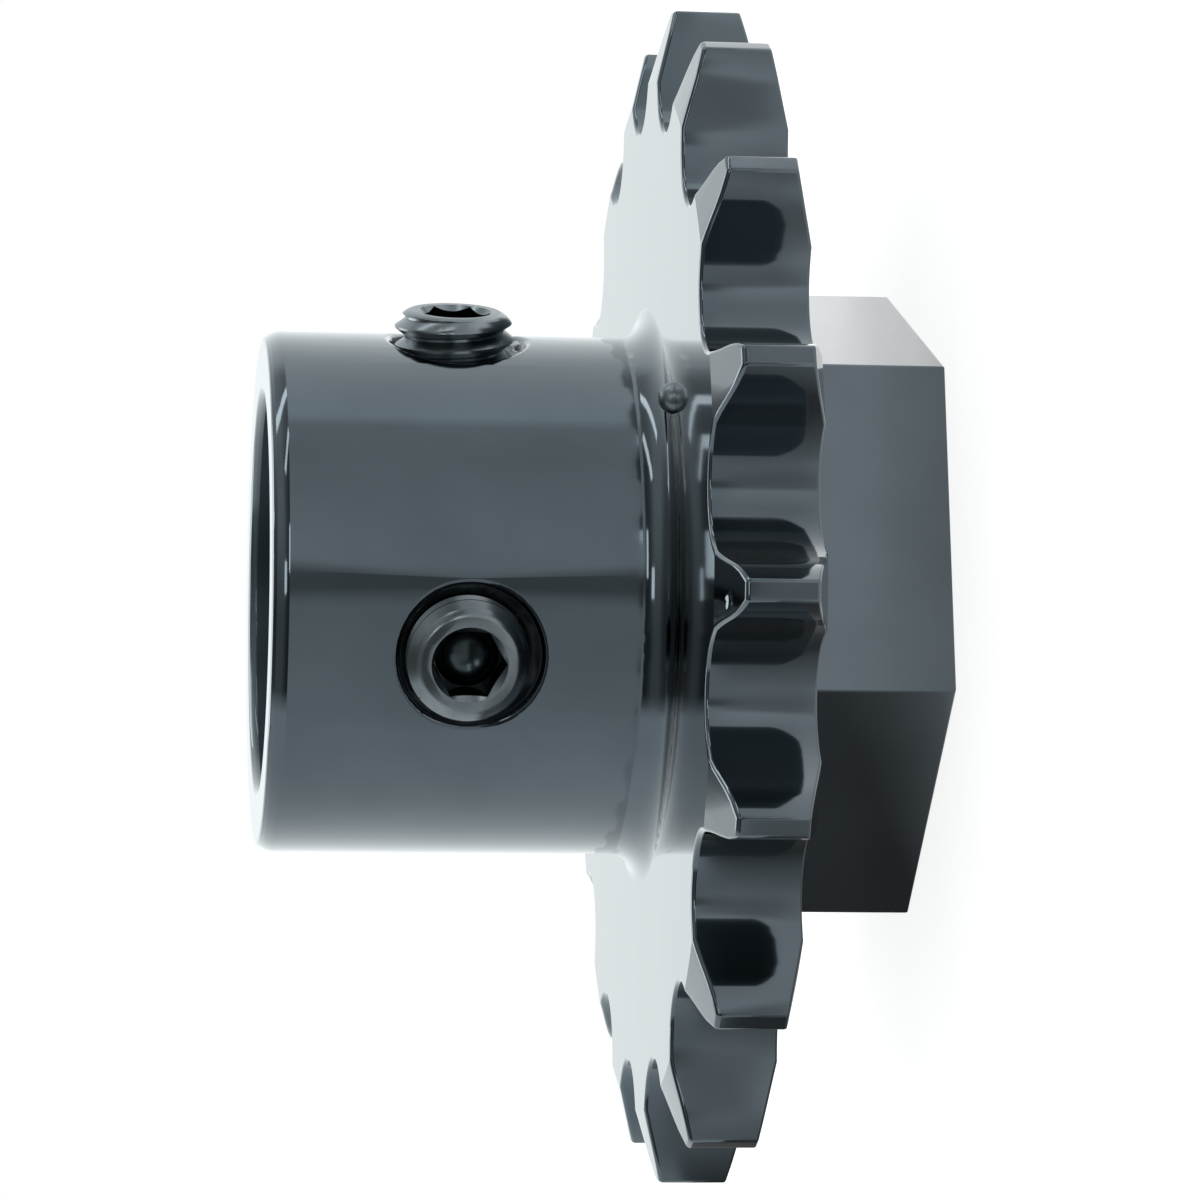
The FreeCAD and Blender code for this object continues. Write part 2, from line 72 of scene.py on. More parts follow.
# Set screws: M8, cut short, with a hexagon socket. Each turn is from the +X axis, seen from above.
SCREW_TURNS = {"set_screw_1": -90, "set_screw_2": 0}
THREAD_PITCH = 1.25 * MM
THREAD_DEPTH = 0.62 * MM
THREAD_CLEAR = 0.02 * MM        # keeps the crests off the wall of the hole
SOCKET_FLATS = 4.0 * MM
SOCKET_DEPTH = 2.6 * MM
SOCKET_POINT = 1.3 * MM         # how far its round bottom goes on below that
SOCKET_MOUTH = 2.36 * MM        # radius of the countersunk mouth of the socket
FACE_ROUND = 0.88 * MM          # rounded chamfer from the face down to the first thread
FACE_PROFILE = 0.36             # of that chamfer: 0.25 would be flat and 0.5 a quarter circle
POINT_CHAMFER = 0.9 * MM
CUP_LENGTH = 1.1 * MM           # of the cone that hollows the point
CUP_OVERLAP = 0.15 * MM         # how far the cone's wide end stands out of the point

# Opened mouths of the tapped holes.
MOUTH_RADIUS = 4.3 * MM
MOUTH_REACH = 15.6 * MM         # from the axis to the middle of their depth
MOUTH_SHIFT = 0.25 * MM         # how far they sit off the screws, towards the plate

# How far the edges are rounded back.
EDGE_BREAK = 0.16 * MM          # machined edges
TOOTH_BREAK = 0.26 * MM         # along the tooth flanks on the hub's side
HUB_BREAK = 0.60 * MM           # round the outer edge of the hub end; the widest of them
WORN_BREAK = 0.42 * MM          # in the one tooth gap that has been knocked about
WORN_BEARING = -105             # the middle of that gap, in degrees from the +X axis
WORN_SPREAD = 7                 # degrees either side over which the wear fades out
RIM_DROP = 1.3 * MM             # the rim's taper stays within this depth of the plate's face
HUB_EDGE_DROP = 1.0 * MM        # and the chamfer of the hub end within this depth of that end
LIP_REACH = 1.5 * SCREW_CREST   # no edge this near the height of the screws is broken
BREAK_STEPS = 4

# Marks of use.
BEAD_SPOT = Vector((15.39, -11.30, 16.95)) * MM     # a drop of weld spatter at the root of the hub
BEAD_RADIUS = 1.0 * MM
DENT_SPOT = Vector((8.085, -34.391, 16.441)) * MM   # a dent in the taper of the foremost tooth
DENT_WAY = Vector((0.062, -0.246, 0.967))           # square to the taper there
DENT_RADIUS = 2.0 * MM
DENT_DEPTH = 0.1 * MM

# Angles between two faces.
SHARP = math.radians(20)            # over this, an edge is broken
RIDGE = math.radians(8)             # over this, it is at least kept as a ridge
SMOOTH_BODY = math.radians(32)
SMOOTH_SCREW = math.radians(30)

# The side of the sprocket that is looked at, and the side that is held up, as bearings about +Z.
FRONT_BEARING = math.radians(-76.4)
UPPER_BEARING = math.radians(13.6)


def bearing(angle):
    return Vector((math.cos(angle), math.sin(angle), 0))


FRONT, UPPER, AXIS = bearing(FRONT_BEARING), bearing(UPPER_BEARING), Vector((0, 0, 1))

# ---------------------------------------------------------------- the studio, in mm and degrees

# What the metal mirrors, as it is in a small studio: the paper round the foot, whose tones in the metal are
# painted light and shade, the walls at the height of the sprocket, and above them the dim room on the
# viewer's side, up to the white ceiling. Each pair is an angle above the viewer's side, all round the axis,
# and the tone there.
# Painted light and shade on the paper, seen only in the metal: dark on the lower side, bright on the upper
# side.
NEAR_PAPER_PAINTED_LIGHT = [(-140, 0.2), (-100, 0.09), (-70, 0.12), (-28, 0.47), (-20, 0.66), (-14, 0.85),
              (50, 0.86), (75, 1.0), (165, 1.0), (180, 0.3)]
FAR_PAPER_PAINTED_LIGHT = [(-140, 0.2), (-100, 0.09), (-70, 0.11), (-16, 0.56), (0, 0.45), (9, 0.5), (14, 0.88),
             (35, 0.66), (60, 0.74), (80, 1.0), (165, 1.0), (180, 0.3)]
WALL_TONES = [(-170, 1.0), (-150, 1.0), (-126, 1.0), (-82, 0.97), (-65, 0.9), (-50, 0.81), (-29, 0.72),
              (-6, 0.68), (-3, 0.58), (2, 0.31), (8, 0.31), (11.5, 0.62), (14, 0.92), (32, 0.88),
              (62, 0.76), (78, 0.82), (84, 1.2), (100, 1.12), (125, 1.0)]
VIEWER_SIDE = [(-150, 0.0), (-118, 1.0), (118, 1.0), (150, 0.0)]
ROOM_SIDES = [(-150, 0.42), (-20, 0.45), (2, 0.6), (28, 0.9), (50, 1.0), (160, 1.0)]
# The room's width as a slope to the side, and its tones by the sine of the height.
ROOM_WIDTH = [(-0.52, 0.0), (-0.41, 1.0), (0.58, 1.0), (0.75, 0.75), (1.4, 0.6), (1.8, 0.0)]
WIDEST_SLOPE = 2.0
MEETING_POINT = 1.001           # how far behind, for a direction of length 1, its side walls meet
ROOM_TONES = [(0.08, 0.18), (0.24, 0.18), (0.42, 0.38), (0.55, 0.62), (0.80, 0.62), (0.94, 0.26),
              (0.985, 0.22)]
WALL_HEIGHTS = [(0.03, 0.0), (0.07, 1.0)]           # where the walls give way to the room

NEAR_REACH, FAR_REACH = 75 * MM, 95 * MM            # between these the near paper becomes the far
PAPER_GLOW = 0.85
FLOOR_RADIUS = 140 * MM

# Each lamp: angle above the viewer's side, rise, distance, width, height, watts, tilt.
LAMPS = {
    "soft_box": (170, 60, 320, 240, 180, 0.3, 0),
    "strip_front": (18, 8, 300, 105, 30, 0.032, 0),
    "strip_low": (64, 16, 300, 140, 32, 0.045, -49),
    "strip_high": (92, 24, 300, 190, 32, 0.06, -77),
    "small_front": (6, 27, 300, 66, 50, 0.03, 0),
}

# The camera's stand and aim: towards the viewer, towards the upper side, and along the axis.
CAMERA_STAND = (307.36, -0.275, 57.28)
CAMERA_AIM = (-0.337, -0.275, 19.55)
CAMERA_ROLL = 0.014             # radians
CAMERA_LENS = 143.3


# ---------------------------------------------------------------- colour and nodes

# The sockets of a Mix node that mixes colours.
SHARE, FIRST, SECOND, MIXED = 0, 6, 7, 2


def linear(hex_code):
    """An sRGB hex colour as linear RGBA."""
    values = [int(hex_code[i:i + 2], 16) / 255 for i in (1, 3, 5)]
    return [v / 12.92 if v <= 0.04045 else ((v + 0.055) / 1.055) ** 2.4 for v in values] + [1.0]


def grey(value):
    return (value, value, value, 1.0)


def add(tree, kind, settings=None, sockets=None):
    """A node with its settings and sockets; a socket takes a value or another node's output."""
    node = tree.nodes.new(kind)
    for name, value in (settings or {}).items():
        setattr(node, name, value)
    for name, value in (sockets or {}).items():
        if isinstance(value, bpy.types.NodeSocket):
            tree.links.new(value, node.inputs[name])
        else:
            node.inputs[name].default_value = value
    return node


def ramp(node, stops):
    """Fills a colour ramp with (position, colour) stops."""
    elements = node.color_ramp.elements
    while len(elements) > 1:
        elements.remove(elements[-1])
    elements[0].position, elements[0].color = stops[0]
    for position, colour in stops[1:]:
        elements.new(position).color = colour
    return node


def new_material(name):
    material = bpy.data.materials.new(name)
    material.use_nodes = True
    material.node_tree.nodes.clear()
    return material, material.node_tree


def cloudy(tree, where, size, detail, dark, light):
    """A tone that drifts between two colours, in clouds of about a given size."""
    clouds = add(tree, "ShaderNodeTexNoise", {}, {"Vector": where, "Scale": 1 / size, "Detail": detail})
    return ramp(add(tree, "ShaderNodeValToRGB", {}, {"Fac": clouds.outputs["Fac"]}), [dark, light])


def turn_share(view_angle):
    """Where a bearing lies on a radial gradient, from an angle above the viewer's side."""
    return ((FRONT_BEARING + math.radians(view_angle)) / FULL_TURN + 0.5) % 1.0


def all_round(tree, vector, tones):
    """Tones all round the axis, from (angle above the viewer's side, tone) pairs."""
    round_about = add(tree, "ShaderNodeTexGradient", {"gradient_type": "RADIAL"}, {"Vector": vector})
    stops = sorted((turn_share(angle), tone) for angle, tone in tones)
    (first, first_tone), (last, last_tone) = stops[0], stops[-1]
    gap = 1 - last + first
    seam = grey(last_tone + (first_tone - last_tone) * (1 - last) / gap)
    return ramp(add(tree, "ShaderNodeValToRGB", {}, {"Fac": round_about.outputs["Fac"]}),
                [(0.0, seam)] + [(share, grey(tone)) for share, tone in stops] + [(1.0, seam)])


# ---------------------------------------------------------------- materials

CLOUD_SIZE = 9 * MM             # drifts in the tone of the blackening
WAVE_SIZE = 5 * MM              # slow waves that machining leaves in a face
WAVE_HEIGHT = 0.03 * MM
MARK_SPACING = 0.35 * MM        # turning marks
MARK_DEPTH = 0.002 * MM
MARK_REACH = 4 * MM             # how far up the hub they are deep
MARKS_ABOVE = 0.12              # share of their depth that is left above that
DRAWN_OUT = 0.03                # squeezes a pattern across the axis, so it turns to lines round it
POLISHED, REAMED = 0.09, 0.5    # roughness outside and in the holes


def turning_marks(tree, where, normal):
    """Fine lines round the axis on the hub, deepest at its root."""
    long_way = add(tree, "ShaderNodeMapping", {}, {"Vector": where, "Scale": (DRAWN_OUT, DRAWN_OUT, 1.0)})
    lines = add(tree, "ShaderNodeTexNoise", {}, {"Vector": long_way.outputs[0], "Scale": 1 / MARK_SPACING,
                                                 "Detail": 1.0})
    along = add(tree, "ShaderNodeSeparateXYZ", {}, {"Vector": where}).outputs["Z"]
    reach = add(tree, "ShaderNodeMapRange", {}, {"Value": along, "From Min": PLATE_TOP,
                "From Max": PLATE_TOP + MARK_REACH, "To Min": 1.0, "To Max": MARKS_ABOVE})
    above = add(tree, "ShaderNodeMath", {"operation": "GREATER_THAN"}, {0: along, 1: PLATE_TOP})
    reach = add(tree, "ShaderNodeMath", {"operation": "MULTIPLY"}, {0: reach.outputs[0], 1: above.outputs[0]})
    marks = add(tree, "ShaderNodeMath", {"operation": "MULTIPLY"}, {0: lines.outputs["Fac"],
                                                                    1: reach.outputs[0]})
    return add(tree, "ShaderNodeBump", {}, {"Height": marks.outputs[0], "Strength": 1.0,
                                            "Distance": MARK_DEPTH, "Normal": normal})


def in_bore(tree, where):
    """Roughness: the bore is reamed and has no polish, so light from its mouth spreads inside it."""
    across = add(tree, "ShaderNodeVectorMath", {"operation": "MULTIPLY"}, {0: where, 1: (1.0, 1.0, 0.0)})
    radius = add(tree, "ShaderNodeVectorMath", {"operation": "LENGTH"}, {0: across.outputs[0]})
    return add(tree, "ShaderNodeMapRange", {}, {
        "Value": radius.outputs["Value"], "To Min": REAMED, "To Max": POLISHED,
        "From Min": BORE_RADIUS + 0.05 * MM, "From Max": BORE_RADIUS + 0.3 * MM})


def in_mouths(tree, where):
    """1 in the opened mouths of the two tapped holes, and 0 elsewhere."""
    opened = 0.0
    for turn in SCREW_TURNS.values():
        mouth = bearing(math.radians(turn)) * MOUTH_REACH + AXIS * (SCREW_AXIS_Z - MOUTH_SHIFT)
        off = add(tree, "ShaderNodeVectorMath", {"operation": "DISTANCE"}, {0: where, 1: mouth})
        off = add(tree, "ShaderNodeMapRange", {}, {
            "Value": off.outputs["Value"], "To Min": 1.0, "To Max": 0.0,
            "From Min": MOUTH_RADIUS + 0.1 * MM, "From Max": MOUTH_RADIUS + 0.2 * MM})
        either = add(tree, "ShaderNodeMath", {"operation": "MAXIMUM"}, {0: opened, 1: off.outputs[0]})
        opened = either.outputs[0]
    return opened


def blackened_steel():
    """Carbon steel, turned and milled, then hot blackened and oiled: a dark blue-grey mirror
    that goes pale at a grazing look, with faint cloudiness and fine tool marks in the film.
    The mouths of the tapped holes were opened afterwards and are bare, dull grey steel."""
    material, tree = new_material("blackened_steel")
    where = add(tree, "ShaderNodeTexCoord").outputs["Object"]
    tone = cloudy(tree, where, CLOUD_SIZE, 4.0, (0.3, linear("#434f56")), (0.7, linear("#4e5a61")))
    waves = add(tree, "ShaderNodeTexNoise", {}, {"Vector": where, "Scale": 1 / WAVE_SIZE, "Detail": 1.0})
    waves = add(tree, "ShaderNodeBump", {}, {"Height": waves.outputs["Fac"], "Strength": 0.3,
                                             "Distance": WAVE_HEIGHT})
    bump = turning_marks(tree, where, waves.outputs["Normal"])
    opened = in_mouths(tree, where)
    tone = add(tree, "ShaderNodeMix", {"data_type": "RGBA"},
               {SHARE: opened, FIRST: tone.outputs["Color"], SECOND: linear("#71797e")})
    dull = add(tree, "ShaderNodeMix", {"data_type": "FLOAT"},
               {"Factor": opened, "A": in_bore(tree, where).outputs[0], "B": REAMED})
    steel = add(tree, "ShaderNodeBsdfPrincipled", {}, {
        "Base Color": tone.outputs[MIXED], "Metallic": 1.0, "Roughness": dull.outputs[0],
        "Coat Weight": 1.0, "Coat Roughness": 0.06, "Normal": bump.outputs["Normal"],
        "Coat Normal": bump.outputs["Normal"]})
    add(tree, "ShaderNodeOutputMaterial", {}, {"Surface": steel.outputs["BSDF"]})
    return material


def plain_steel(name, cloud_size, detail, roughness, dark, light):
    """Steel without the body's glossy film: a tone that drifts from dark to light, one roughness."""
    material, tree = new_material(name)
    where = add(tree, "ShaderNodeTexCoord").outputs["Object"]
    tone = cloudy(tree, where, cloud_size, detail, dark, light)
    steel = add(tree, "ShaderNodeBsdfPrincipled", {}, {
        "Base Color": tone.outputs["Color"], "Metallic": 1.0, "Roughness": roughness})
    add(tree, "ShaderNodeOutputMaterial", {}, {"Surface": steel.outputs["BSDF"]})
    return material


def screw_steel():
    """Hardened alloy steel, rolled thread, blackened: greyer and a little duller than the body."""
    return plain_steel("screw_steel", cloud_size=2 * MM, detail=4.0, roughness=0.24,
                       dark=(0.3, linear("#6b7377")), light=(0.7, linear("#7f868a")))


def socket_oxide_and_shade():
    """The socket of a screw, darker than the rest: partly its black oxide and oil, partly painted shade in
    the recess.
    """
    # Painted shade in the socket, together with its own oxide: a darker tone than the screw.
    return plain_steel("socket_oxide_and_shade", cloud_size=0.8 * MM, detail=3.0, roughness=0.2,
                       dark=(0.3, linear("#323a3d")), light=(0.7, linear("#40484b")))


def spatter_crust():
    """A drop of weld spatter: rough grey scale, so it keeps a soft light spot and no mirror."""
    return plain_steel("spatter_crust", cloud_size=0.4 * MM, detail=4.0, roughness=0.36,
                       dark=(0.35, linear("#687175")), light=(0.65, linear("#848c90")))


def floor_paper():
    """Matt white paper: it takes a soft shadow, and looks white wherever the light reaches it. In the metal
    it shows painted light and shade instead: its tones are painted round the axis, dark on the lower side and
    brighter on the upper side, towards the soft box."""
    material, tree = new_material("floor_paper")
    rays = add(tree, "ShaderNodeLightPath")
    seen = rays.outputs["Is Camera Ray"]
    for ray in ("Is Glossy Ray", "Is Transmission Ray"):
        either = add(tree, "ShaderNodeMath", {"operation": "MAXIMUM"}, {0: seen, 1: rays.outputs[ray]})
        seen = either.outputs[0]
    lift = add(tree, "ShaderNodeMath", {"operation": "MULTIPLY"}, {0: seen, 1: PAPER_GLOW})
    where = add(tree, "ShaderNodeTexCoord").outputs["Object"]
    out = add(tree, "ShaderNodeVectorMath", {"operation": "LENGTH"}, {0: where})
    far_off = add(tree, "ShaderNodeMapRange", {}, {"Value": out.outputs["Value"], "From Min": NEAR_REACH,
                  "From Max": FAR_REACH})
    # Painted light and shade on the paper round the axis, near and far, seen only by mirror rays.
    near, far = all_round(tree, where, NEAR_PAPER_PAINTED_LIGHT), all_round(tree, where, FAR_PAPER_PAINTED_LIGHT)
    painted_reflection = add(tree, "ShaderNodeMix", {"data_type": "RGBA"}, {SHARE: far_off.outputs[0],
                   FIRST: near.outputs["Color"], SECOND: far.outputs["Color"]})
    tone = add(tree, "ShaderNodeMix", {"data_type": "RGBA"}, {SHARE: rays.outputs["Is Camera Ray"],
               FIRST: painted_reflection.outputs[MIXED], SECOND: grey(1.0)})
    half = add(tree, "ShaderNodeMix", {"data_type": "RGBA"}, {SHARE: 0.5, FIRST: grey(0.0),
               SECOND: tone.outputs[MIXED]})
    paper = add(tree, "ShaderNodeBsdfDiffuse", {}, {"Color": half.outputs[MIXED]})
    glow = add(tree, "ShaderNodeEmission", {}, {"Color": tone.outputs[MIXED], "Strength": lift.outputs[0]})
    both = add(tree, "ShaderNodeAddShader", {}, {0: paper.outputs[0], 1: glow.outputs[0]})
    add(tree, "ShaderNodeOutputMaterial", {}, {"Surface": both.outputs[0]})
    return material


# ---------------------------------------------------------------- modelling by hand

def edit(choose=None):
    """Opens edit mode on the active object, with nothing selected or with the faces that choose takes."""
    bpy.ops.object.mode_set(mode="EDIT")
    bpy.ops.mesh.select_mode(type="FACE")
    bpy.ops.mesh.select_all(action="DESELECT")
    if choose:
        mesh = bmesh.from_edit_mesh(bpy.context.object.data)
        for face in mesh.faces:
            face.select = choose(face)
        bmesh.update_edit_mesh(bpy.context.object.data)


def done():
    bpy.ops.object.mode_set(mode="OBJECT")


def pick(piece):
    """Selects one object alone and makes it the active one."""
    bpy.ops.object.select_all(action="DESELECT")
    piece.select_set(True)
    bpy.context.view_layer.objects.active = piece


def finish_normals(join=0.002 * MM):
    """Merges the doubles of the active object and turns its faces outwards."""
    edit()
    bpy.ops.mesh.select_all(action="SELECT")
    bpy.ops.mesh.remove_doubles(threshold=join)
    bpy.ops.mesh.normals_make_consistent(inside=False)
    done()


def modify(piece, kind, **settings):
    """Adds a modifier with its settings and applies it."""
    bpy.context.view_layer.objects.active = piece
    modifier = piece.modifiers.new(kind, kind)
    for name, value in settings.items():
        setattr(modifier, name, value)
    bpy.ops.object.modifier_apply(modifier=modifier.name)


def cut(piece, tool, operation="DIFFERENCE"):
    """A boolean with a tool, which is used up."""
    modify(piece, "BOOLEAN", object=tool, operation=operation, solver="EXACT")
    bpy.data.objects.remove(tool)


def wear(piece, materials):
    """Puts materials on a piece in place of what it has."""
    piece.data.materials.clear()
    for material in materials:
        piece.data.materials.append(material)


# ---------------------------------------------------------------- set screws

def threaded_bar():
    """A right-hand thread about +Z, from above the screw's face to below its point."""
    crest = SCREW_CREST - THREAD_CLEAR
    root = crest - THREAD_DEPTH
    flat = THREAD_PITCH / 8
    turns = math.ceil(SCREW_LENGTH / THREAD_PITCH) + 2
    slope = (THREAD_PITCH - 2 * flat) / 2
    bpy.ops.mesh.primitive_plane_add(size=MM, location=(0, 0, 0))
    bar = bpy.context.object
    edit()
    bpy.ops.mesh.select_all(action="SELECT")
    bpy.ops.mesh.merge(type="CENTER")
    bpy.ops.mesh.select_mode(type="VERT")
    bpy.ops.mesh.select_all(action="SELECT")
    bpy.ops.transform.translate(value=(crest, 0, -SCREW_LENGTH - 2 * THREAD_PITCH))
    for step in ((0, 0, flat), (root - crest, 0, slope), (0, 0, flat), (crest - root, 0, slope)):
        bpy.ops.mesh.extrude_vertices_move(TRANSFORM_OT_translate={"value": step})
    done()
    modify(bar, "SCREW", angle=FULL_TURN, screw_offset=THREAD_PITCH, iterations=turns,
           steps=64, render_steps=64)
    finish_normals()
    for height, sign in ((THREAD_PITCH / 4, 1), (-SCREW_LENGTH - THREAD_PITCH / 4, -1)):
        edit()
        bpy.ops.mesh.select_all(action="SELECT")
        bpy.ops.mesh.bisect(plane_co=(0, 0, height), plane_no=(0, 0, sign), use_fill=True,
                            clear_outer=True, threshold=0.0001 * MM)
        done()
    finish_normals()
    return bar


def screw_envelope():
    """What the thread is cut down to: a rounded socket end at the origin and a chamfered point."""
    bpy.ops.mesh.primitive_cylinder_add(vertices=96, radius=SCREW_CREST, depth=SCREW_LENGTH,
                                        location=(0, 0, -SCREW_LENGTH / 2))
    envelope = bpy.context.object
    bpy.ops.object.transform_apply(location=True)
    edit(lambda face: face.normal.z > 0.9)
    bpy.ops.mesh.bevel(offset=FACE_ROUND, segments=5, profile=FACE_PROFILE, affect="EDGES")
    done()
    edit(lambda face: face.normal.z < -0.9)
    bpy.ops.mesh.bevel(offset=POINT_CHAMFER, segments=1, affect="EDGES")
    done()
    return envelope


def socket_tools():
    """The hexagon, the round bottom its punch leaves, the countersunk mouth, and the cup of the point."""
    lift = MM
    bpy.ops.mesh.primitive_cylinder_add(
        vertices=6, radius=SOCKET_FLATS / 2 / math.cos(math.radians(30)), depth=SOCKET_DEPTH + lift,
        location=(0, 0, (lift - SOCKET_DEPTH) / 2), rotation=(0, 0, math.radians(30)))
    hexagon = bpy.context.object
    # A hair smaller and higher than the hexagon, so that no two faces lie on each other.
    bpy.ops.mesh.primitive_uv_sphere_add(segments=48, ring_count=24, radius=SOCKET_FLATS / 2 - 0.01 * MM,
                                         location=(0, 0, -SOCKET_DEPTH + 0.02 * MM))
    bottom = bpy.context.object
    bottom.scale.z = SOCKET_POINT / (SOCKET_FLATS / 2)
    bpy.ops.object.transform_apply(location=True, scale=True)
    sink = SOCKET_MOUTH - SOCKET_FLATS / 2
    bpy.ops.mesh.primitive_cone_add(
        vertices=64, radius1=SOCKET_MOUTH - 2 * sink, radius2=SOCKET_MOUTH + 2 * sink, depth=4 * sink)
    mouth = bpy.context.object
    bpy.ops.mesh.primitive_cone_add(
        vertices=64, radius1=SCREW_CREST - POINT_CHAMFER, radius2=0, depth=CUP_LENGTH,
        location=(0, 0, -SCREW_LENGTH - CUP_OVERLAP + CUP_LENGTH / 2))
    cup = bpy.context.object
    return hexagon, bottom, mouth, cup


def darken_socket_oxide_and_shade(screw):
    """Gives the second material, oxide with painted shade, to the walls and the round bottom of the socket.
    """
    for face in screw.data.polygons:
        depth = -face.center.z
        on_wall = abs(face.normal.z) < 0.2 and depth < SOCKET_DEPTH
        on_bottom = SOCKET_DEPTH - 0.05 * MM < depth < SOCKET_DEPTH + SOCKET_POINT
        in_socket = face.center.xy.length < SOCKET_MOUTH and (on_wall or on_bottom)
        face.material_index = 1 if in_socket else 0


def set_screws(materials):
    """The threaded screws that stand for the plain CAD ones, each in its own place."""
    bpy.ops.object.select_all(action="DESELECT")
    model = threaded_bar()
    cut(model, screw_envelope(), "INTERSECT")
    for tool in socket_tools():
        cut(model, tool)
    bpy.context.view_layer.objects.active = model
    finish_normals()
    wear(model, materials)
    # The socket's faces take the darker material: painted shade together with the oxide.
    darken_socket_oxide_and_shade(model)
    for node, turn in SCREW_TURNS.items():
        screw = model.copy()
        screw.data = model.data.copy()
        screw.name = f"{node}_threaded"
        bpy.context.scene.collection.objects.link(screw)
        outward = Matrix.Rotation(math.radians(turn), 4, "Z") @ Matrix.Rotation(math.radians(90), 4, "Y")
        shift = bearing(math.radians(turn)) * SCREW_FACE_REACH + AXIS * SCREW_AXIS_Z
        screw.data.transform(Matrix.Translation(shift) @ outward)
        pick(screw)
        bpy.ops.object.shade_smooth_by_angle(angle=SMOOTH_SCREW)
        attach(screw, "root")
        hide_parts(node)
    bpy.data.objects.remove(model)


# ---------------------------------------------------------------- sprocket body

def ball(middle, radius):
    """A ball, to press a dent or to stand as a drop of spatter, turned so its facets line up with
    no face of the body."""
    bpy.ops.object.select_all(action="DESELECT")
    bpy.ops.mesh.primitive_uv_sphere_add(segments=40, ring_count=20, radius=radius, location=middle,
                                         rotation=(0.3, 0.2, 0.1))
    piece = bpy.context.object
    bpy.ops.object.transform_apply(location=True, rotation=True)
    return piece


def on_mouth(point):
    """At the height of the screw holes, whose own lips are rounded already."""
    return abs(point.z - SCREW_AXIS_Z) < LIP_REACH


def edge_break(middle):
    """How far a sharp edge is rounded back, by where its middle lies."""
    if middle.xy.length > TOOTH_ZONE and middle.z > PLATE_TOP - RIM_DROP:
        turn = math.degrees(math.atan2(middle.y, middle.x))
        worn = max(0.0, 1 - abs(turn - WORN_BEARING) / WORN_SPREAD)
        return TOOTH_BREAK + (WORN_BREAK - TOOTH_BREAK) * worn
    if middle.z > HUB_TOP - HUB_EDGE_DROP and middle.xy.length > HUB_RADIUS - 0.1 * MM:
        return HUB_BREAK
    return EDGE_BREAK


def mark_edges(body):
    """Gives the sharp edges of the teeth, the hexagon and the hub end their bevel weight, and keeps
    the low ridge where the taper of the rim begins."""
    mesh = bmesh.new()
    mesh.from_mesh(body.data)
    bmesh.ops.dissolve_limit(mesh, angle_limit=math.radians(0.5), verts=mesh.verts, edges=mesh.edges,
                             delimit={"NORMAL"})
    weight = mesh.edges.layers.float.new("bevel_weight_edge")
    for edge in mesh.edges:
        middle = (edge.verts[0].co + edge.verts[1].co) / 2
        angle = edge.calc_face_angle()
        if angle > SHARP and not on_mouth(middle):
            edge[weight] = edge_break(middle) / HUB_BREAK
        elif middle.xy.length > TOOTH_ZONE and angle > RIDGE and any(
                abs(face.normal.z) > 0.999 for face in edge.link_faces):
            edge.smooth = False
    mesh.to_mesh(body.data)
    mesh.free()


def end_ridges(body):
    """Carries each ridge on across the broken edge it runs into, so the two flats stay apart."""
    mesh = bmesh.new()
    mesh.from_mesh(body.data)
    ends = [(vert, edge) for vert in mesh.verts if vert.co.xy.length > TOOTH_ZONE
            for edge in vert.link_edges
            if not edge.smooth and sum(not other.smooth for other in vert.link_edges) == 1]
    for vert, ridge in ends:
        way = (vert.co - ridge.other_vert(vert).co).normalized()
        onward = max((edge for edge in vert.link_edges if edge.smooth),
                     key=lambda edge: way.dot((edge.other_vert(vert).co - vert.co).normalized()))
        onward.smooth = False
    mesh.to_mesh(body.data)
    mesh.free()


def crust_bead(body):
    """Gives the second material to the drop of spatter."""
    for face in body.data.polygons:
        out = face.center - BEAD_SPOT
        on_bead = out.length < 1.01 * BEAD_RADIUS and face.normal.dot(out) > 0.9 * BEAD_RADIUS
        face.material_index = 1 if on_bead else 0


def sprocket_body(materials):
    """The CAD body with its edges broken as a file or a tumbling drum leaves them."""
    node = frame["nodes"]["sprocket_body"]
    body = node.copy()
    body.data = node.data.copy()
    body.name = "sprocket_body_finished"
    bpy.context.scene.collection.objects.link(body)
    pick(body)
    finish_normals()
    mark_edges(body)
    modify(body, "BEVEL", limit_method="WEIGHT", width=HUB_BREAK, segments=BREAK_STEPS,
           use_clamp_overlap=False, miter_outer="MITER_ARC")
    finish_normals()
    end_ridges(body)
    cut(body, ball(BEAD_SPOT, BEAD_RADIUS), "UNION")
    cut(body, ball(DENT_SPOT + DENT_WAY * (DENT_RADIUS - DENT_DEPTH), DENT_RADIUS))
    bpy.context.view_layer.objects.active = body
    finish_normals(0.0005 * MM)
    pick(body)
    bpy.ops.object.shade_smooth_by_angle(angle=SMOOTH_BODY)
    modify(body, "WEIGHTED_NORMAL", mode="FACE_AREA", keep_sharp=True)
    wear(body, materials)
    crust_bead(body)
    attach(body, "root")
    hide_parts("sprocket_body")


# ---------------------------------------------------------------- studio

def place(front, upper, along):
    """A point given in mm: towards the viewer, towards the upper side, and along the axis."""
    return (front * FRONT + upper * UPPER + along * AXIS) * MM


def camera():
    data = bpy.data.cameras.new("camera")
    data.sensor_width = 36
    data.lens = CAMERA_LENS
    data.clip_start, data.clip_end = 0.01, 10
    seat = bpy.data.objects.new("camera", data)
    bpy.context.scene.collection.objects.link(seat)
    stand, aim = place(*CAMERA_STAND), place(*CAMERA_AIM)
    back = (stand - aim).normalized()
    level = UPPER.cross(back).normalized()
    right = math.cos(CAMERA_ROLL) * level + math.sin(CAMERA_ROLL) * UPPER
    up = back.cross(right)
    seat.matrix_world = Matrix.Translation(stand) @ Matrix((right, up, back)).transposed().to_4x4()
    bpy.context.scene.camera = seat


